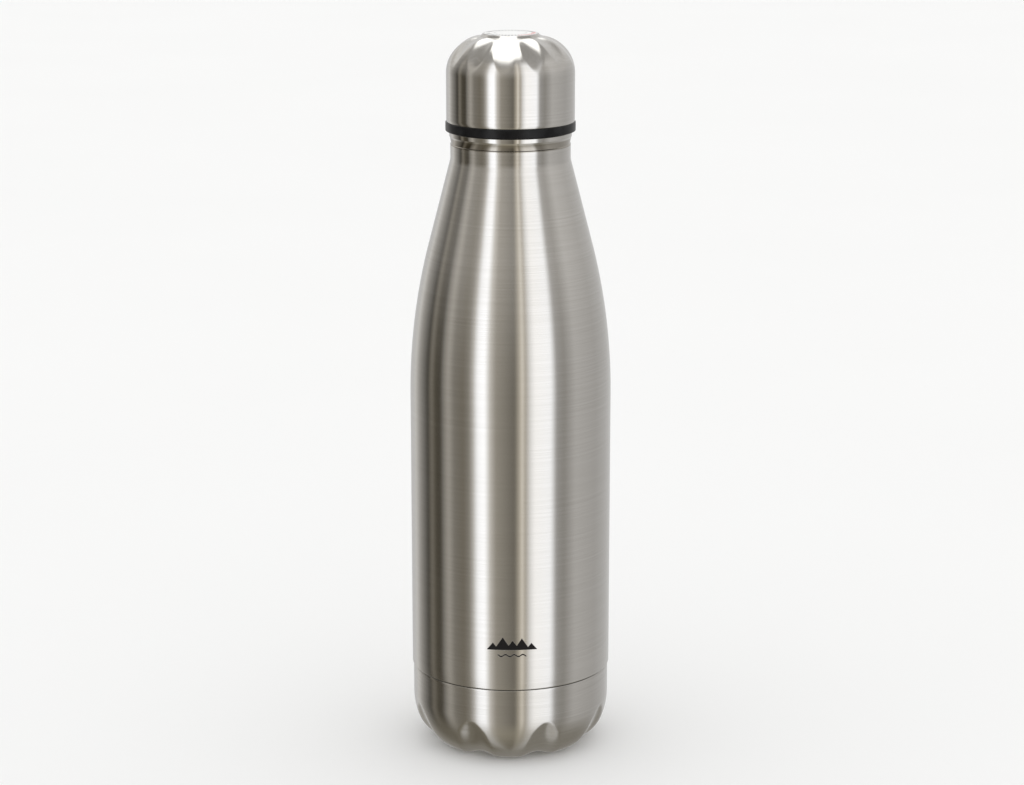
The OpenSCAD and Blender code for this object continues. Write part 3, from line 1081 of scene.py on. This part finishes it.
@dataclass
class Cap:
    """The domed steel cap, its black plastic core and the round label.

    Attributes:
        dome_r: Radius of the domed edge.
        sheet: Thickness of the steel.
        dimples: Number of finger dimples.
        dimple_turn: Angle from the front of the first dimple, in degrees.
        dimple_r: Radius of a dimple's floor.
        dimple_depth: Depth of a dimple near its foot.
        nose: Angle up the dome of the round nose's centre, in degrees.
        fade: Angle up the dome at which a dimple runs out, in degrees.
        point: How pointed a dimple's nose is, from a half circle at 1 to longer ones below it.
        platform_h: Height of the raised platform under the label.
        label_margin: Width of the platform round the label.
        edge: Width over which a dimple's edge is rounded.
        core_wall: Thickness of the core.
        plug_r: Radius inside the core's black ring.
        seat_depth: Depth below the steel at which the core holds the stopper.
    """

    dome_r: float = 12.5
    sheet: float = 0.5
    dimples: int = 12
    dimple_turn: float = -6.0
    dimple_r: float = 11.5
    dimple_depth: float = 0.55
    nose: float = 46.0
    fade: float = 88.0
    point: float = 0.52
    platform_h: float = 0.9
    label_margin: float = 0.2
    edge: float = 0.25
    core_wall: float = 1.8
    plug_r: float = 17.2
    seat_depth: float = 1.5

    def build(self) -> list[bpy.types.Object]:
        """Builds the cap's pieces.

        Returns:
            The steel shell, the core and the label.
        """
        pieces = [self.shell(), self.core(), self.label()]
        dress_node("cap_bond", ADHESIVE)
        return pieces

    def shell(self) -> bpy.types.Object:
        """Builds the dimpled steel shell."""
        low, high = box_mm("cap_shell")
        cap_r, top = high.x, high.z
        flat_r, dome_z = cap_r - self.dome_r, top - self.platform_h - self.dome_r
        platform_r = box_mm("cap_label")[1].x + self.label_margin
        foot_r = platform_r + self.platform_h
        last = math.degrees(math.acos((foot_r - flat_r) / self.dome_r))
        pen = Outline().to(cap_r - 0.1, low.z + 0.02).to(cap_r, low.z + 0.2)
        pen.arc((flat_r, dome_z), self.dome_r, 0.0, last - 3, 72)
        pen.bend((foot_r, top - self.platform_h), (platform_r, top), 0.8)
        pen.bend((platform_r, top), (0.0, top), 0.35).to(0.0, top)
        piece = turned("cap_dome", pen.points(1.2), closed=False, push=self.dimple_push(flat_r, dome_z),
                       wall=self.sheet, segments=720, sharp=50.0)
        settle(piece, Body.CAP, Steel(Slot.CAP, roughness=0.15, grain_mm=0.0015), "cap_shell")
        return piece

    def dimple_push(self, flat_r: float, dome_z: float) -> Push:
        """Gives the push that presses the finger dimples into the dome.

        Args:
            flat_r: Radius of the flat top.
            dome_z: Height at which the dome starts.

        Returns:
            The push.
        """
        pitch = math.tau / self.dimples
        first = FRONT + math.radians(self.dimple_turn)
        nose = self.dome_r * math.radians(self.nose)
        fade = self.dome_r * math.radians(self.fade)

        def push(r: np.ndarray, z: np.ndarray, theta: np.ndarray) -> np.ndarray:
            """Finds the depth of the nearest dimple at each point."""
            away = (theta - first + pitch / 2) % pitch - pitch / 2
            across = np.abs(r * np.sin(away))
            climb = np.arctan2(np.maximum(z - dome_z, 0.0), np.maximum(r - flat_r, 1e-6))
            run = np.where(z <= dome_z, z - dome_z, self.dome_r * climb)
            run = np.where(r < flat_r, self.dome_r * math.pi / 2 + flat_r - r, run)
            below = np.minimum(run - nose, 0.0) * self.point
            reach = np.minimum(np.hypot(across, below), self.dimple_r * 0.999)
            left = np.clip((fade - run) / (fade - nose), 0.0, 1.0)
            floor = self.dimple_depth * left * (2.0 - left)
            depth = floor - (self.dimple_r - np.sqrt(self.dimple_r ** 2 - reach ** 2))
            return soft_max(depth, 0.0, self.edge)

        return push

    def core(self) -> bpy.types.Object:
        """Builds the core with the black ring that shows below the steel."""
        low, high = box_mm("cap_core")
        cap_z = box_mm("cap_shell")[0].z
        ring_r, deck = high.x, high.z
        core_r = box_mm("cap_bond")[1].x - 0.3
        wall = self.core_wall
        seat_r, seat_z = box_mm("stopper_plug")[1].x + 0.2, cap_z - self.seat_depth
        pen = Outline().to(self.plug_r, low.z).bend((ring_r, low.z), (ring_r, cap_z), 0.4)
        pen.bend((ring_r, cap_z), (core_r, cap_z), 0.3).to(core_r, cap_z).to(core_r, deck)
        pen.to(0.0, deck).to(0.0, deck - wall).to(core_r - wall, deck - wall)
        pen.to(core_r - wall, cap_z + wall).to(seat_r, cap_z + wall).to(seat_r, seat_z)
        pen.to(self.plug_r, seat_z)
        piece = turned("black_ring", pen.points())
        settle(piece, Body.CAP, Plastic(Slot.BLACK_PLASTIC, (0.005, 0.005, 0.0055), 0.3, 0.004, 0.2),
               "cap_core")
        return piece

    def label(self) -> bpy.types.Object:
        """Builds the round label with its die-cut edge."""
        low, high = box_mm("cap_label")
        pen = Outline().to(0.0, low.z).to(high.x - 0.02, low.z)
        pen.bend((high.x, high.z), (0.0, high.z), 0.05).to(0.0, high.z)
        piece = turned("round_label", pen.points(), closed=False, segments=160)
        settle(piece, Body.CAP, PrintedLabel(), "cap_label")
        return piece


@dataclass
class Stopper:
    """The threaded stopper with its bottom plug, foam and seal.

    Attributes:
        wall: Thickness of the plastic.
        plug_r: Radius of the stopper's wall between the ribs.
        waist_r: Radius of the waist that the seal sits on.
        waist_wall: Thickness of the waist, and of the floor above it.
        seal_h: Thickness of the seal.
        ledge_z: Height of the ledge that the seal presses on.
        keeper_drop: Gap between the ledge and the bottom plug's rim.
        finish: The stopper's finish.
    """

    wall: float = 1.8
    plug_r: float = 17.0
    waist_r: float = 14.2
    waist_wall: float = 1.6
    seal_h: float = 2.4
    ledge_z: float = 197.0
    keeper_drop: float = 0.1
    finish: Plastic = Plastic(Slot.STOPPER_PLASTIC, (0.02, 0.02, 0.022), 0.42, 0.012)

    def build(self) -> list[bpy.types.Object]:
        """Builds the stopper's pieces.

        Returns:
            The threaded plug, its bottom and the seal.
        """
        dress_node("foam_core", Grainy(Slot.FOAM, (0.88, 0.82, 0.66), (0.74, 0.66, 0.48), 2.2, 0.15, 0.9))
        return [self.plug(), self.floor(), self.seal()]

    def plug(self) -> bpy.types.Object:
        """Builds the threaded plug."""
        low, high = box_mm("stopper_plug")
        seal_top = self.ledge_z + self.seal_h
        bore_r = self.plug_r - self.wall
        low_r, floor_z = self.waist_r - self.waist_wall, seal_top + self.waist_wall
        flange_z = high.z - 1.5
        thread = ThreadRib(self.plug_r, 1.0, seal_top + 3.4)
        pen = Outline().to(low_r, low.z).to(self.waist_r, low.z).to(self.waist_r, seal_top)
        pen.bend((self.plug_r, seal_top), (self.plug_r, seal_top + 2), 0.4)
        pen.along((self.plug_r, seal_top + 1 + 0.16 * i) for i in range(115))
        pen.to(self.plug_r, flange_z).to(high.x, flange_z).to(high.x, high.z).to(bore_r, high.z)
        pen.to(bore_r, floor_z).to(low_r, floor_z)
        piece = turned("stopper_thread", pen.points(), push=thread.push(), segments=288)
        settle(piece, Body.CAP, self.finish, "stopper_plug")
        return piece

    def floor(self) -> bpy.types.Object:
        """Builds the plug that closes the stopper's bottom, with its gate mark."""
        low, high = box_mm("stopper_floor")
        keeper_top = self.ledge_z - self.keeper_drop
        spigot_r = self.waist_r - self.waist_wall
        pen = Outline().to(0.0, low.z + 0.3).to(1.6, low.z + 0.3)
        pen.bend((2.0, low.z), (high.x, low.z), 0.3).bend((high.x, low.z), (high.x, keeper_top), 0.7)
        pen.bend((high.x, keeper_top), (spigot_r, keeper_top), 0.2)
        pen.to(spigot_r, keeper_top).to(spigot_r, high.z).to(0.0, high.z)
        piece = turned("stopper_bottom", pen.points(), closed=False)
        settle(piece, Body.CAP, self.finish, "stopper_floor")
        return piece

    def seal(self) -> bpy.types.Object:
        """Builds the silicone seal with its rounded edges."""
        low, high = box_mm("seal_ring")
        inner = self.waist_r + 0.05
        middle = (low.z + high.z) / 2
        pen = Outline().to(inner, middle).to(inner, low.z).bend((high.x, low.z), (high.x, middle), 0.6)
        pen.bend((high.x, high.z), (inner, high.z), 0.6).to(inner, high.z)
        piece = turned("silicone_seal", pen.points())
        settle(piece, Body.SEAL, Silicone(), "seal_ring")
        return piece


# ---------------------------------------------------------------- the studio


@dataclass(frozen=True)
class Card:
    """One of the cards round the bottle that its steel mirrors, each running into the next.

    Attributes:
        bearing: Its bearing from the front, in degrees, and below zero to the left.
        brightness: Its brightness.
        warmth: How far it is from white towards amber, or towards blue where it is below zero.
    """

    bearing: float
    brightness: float
    warmth: float = 0.0

    def colour(self) -> Colour:
        """Gives the card's colour."""
        return (self.brightness, self.brightness * (1.0 - 0.35 * self.warmth),
                self.brightness * (1.0 - self.warmth))


@dataclass
class Studio:
    """The pale floor, the soft lights and the camera.

    Attributes:
        distance: The camera's distance from the bottle's axis along the floor, in metres.
        height: The camera's height, in metres.
        side: The camera's place to the right of the axis, in metres.
        tilt: The camera's tilt down, in degrees.
        lens: The camera's focal length, in millimetres.
        left: The cards from behind the bottle round its left side.
        front: The cards in front of it, with a dark middle between two bright ones.
        right: The cards round its right side to behind it.
    """

    distance: float = 0.9291
    height: float = 0.3515
    side: float = 0.0005
    tilt: float = 13.62
    lens: float = 96.05
    left: tuple[Card, ...] = (
        Card(-180, 0.7), Card(-158, 0.6), Card(-141, 0.75, 0.05), Card(-129, 0.4, 0.1),
        Card(-110, 0.05, 0.3), Card(-103, 0.25, 0.25), Card(-96, 0.08, 0.4), Card(-88, 0.06, 0.4),
        Card(-83, 0.3, 0.15), Card(-76, 0.5, 0.15), Card(-68, 0.25, 0.2), Card(-56, 0.2, 0.3))
    front: tuple[Card, ...] = (
        Card(-49, 0.3, 0.2), Card(-44, 0.65, 0.1), Card(-38, 1.55, -0.05), Card(-30, 1.75, -0.05),
        Card(-24, 0.8, 0.1), Card(-17, 0.4, 0.2), Card(5, 0.17, 0.25), Card(11, 0.65, 0.25),
        Card(13, 1.1, 0.15), Card(17, 0.5, 0.25), Card(23, 1.15), Card(28, 1.5), Card(47, 1.5, -0.05))
    right: tuple[Card, ...] = (
        Card(54, 0.45, 0.05), Card(64, 0.35, 0.1), Card(80, 0.6, 0.05), Card(114, 0.5, 0.05),
        Card(180, 0.7))

    def build(self) -> None:
        """Builds the studio."""
        self.camera()
        self.floor()
        self.room()
        bpy.context.scene.view_settings.view_transform = "Standard"

    def camera(self) -> None:
        """Places the camera."""
        data = bpy.data.cameras.new("camera")
        data.lens, data.sensor_width = self.lens, 36.0
        data.clip_start, data.clip_end = 0.01, 60.0
        camera = bpy.data.objects.new("camera", data)
        camera.location = (self.side, -self.distance, self.height)
        camera.rotation_euler = (math.radians(90.0 - self.tilt), 0.0, 0.0)
        bpy.context.scene.collection.objects.link(camera)
        bpy.context.scene.camera = camera

    def floor(self) -> None:
        """Lays the pale floor."""
        size = 12.0
        mesh = bpy.data.meshes.new("floor")
        mesh.from_pydata([(-size, -size, 0), (size, -size, 0), (size, size, 0), (-size, size, 0)], [],
                         [(0, 1, 2, 3)])
        floor = bpy.data.objects.new("floor", mesh)
        bpy.context.scene.collection.objects.link(floor)
        material = bpy.data.materials.new("floor_paper")
        material.use_nodes = True
        graph = Graph(material.node_tree)
        x, y, z = graph.position()
        mottle = graph.noise(graph.vector(x, y, z), 0.004, 2.0)
        colour = graph.mix(mottle, (0.87, 0.87, 0.868), (0.89, 0.89, 0.888))
        paper = graph.node("BsdfPrincipled", None, Base_Color=colour, Roughness=0.75 + mottle * 0.1,
                           Specular_IOR_Level=0.2)
        graph.node("OutputMaterial", None, Surface=graph.wire(paper))
        mesh.materials.append(material)
        floor.visible_glossy = False

    def room(self) -> None:
        """Lights the floor evenly and hangs light and dark cards that the steel mirrors."""
        world = bpy.data.worlds.new("room")
        bpy.context.scene.world = world
        world.use_nodes = True
        graph = Graph(world.node_tree)
        way = graph.node("SeparateXYZ", None, Vector=graph.wire(graph.node("TexCoord"), "Generated"))
        x, y, z = (graph.wire(way, axis) for axis in range(3))
        bearing = graph.maths("ARCTAN2", x, -y) / math.tau + 0.5
        cards = (*self.left, *self.front, *self.right)
        stops = [((card.bearing + 180) / 360, card.colour()) for card in cards]
        around = graph.wire(graph.node("ValToRGB", {"stops": stops}, Fac=bearing))
        near = graph.mix(graph.step(-y, 0.25, 0.8), (0.2, 0.18, 0.135), (0.42, 0.385, 0.3))
        table = graph.mix(0.25, near, around)
        upper = graph.mix(graph.step(z, -0.12, 0.35) * 0.2, around, (1.25, 1.22, 1.17))
        mirrored = graph.mix(graph.step(z, -0.38, -0.72), upper, table)
        above = graph.maths("MAXIMUM", z, 0.05)
        box = (graph.step(abs(x / above + 0.05), 0.38, 0.28)
               * graph.step(abs(y / above - 0.9), 1.52, 1.38) * graph.step(z, 0.3, 0.4))
        ceiling = graph.mix(graph.step(z, 0.55, 0.8), mirrored, (0.42, 0.41, 0.39))
        mirrored = graph.mix(box, ceiling, (2.0, 2.0, 1.96))
        mirrors = graph.wire(graph.node("LightPath"), "Is Glossy Ray")
        colour = graph.mix(mirrors, (1.08, 1.08, 1.075), mirrored)
        room = graph.node("Background", None, Color=colour, Strength=1.0)
        graph.node("OutputWorld", None, Surface=graph.wire(room))


def main() -> None:
    """Builds the bottle and the studio."""
    logging.basicConfig(level=logging.INFO, format="%(name)s: %(message)s")
    Studio().build()
    OuterShell().build()
    BaseCup().build()
    InnerFlask().build()
    VacuumParts().dress()
    Cap().build()
    Stopper().build()


if __name__ == "__main__":
    main()
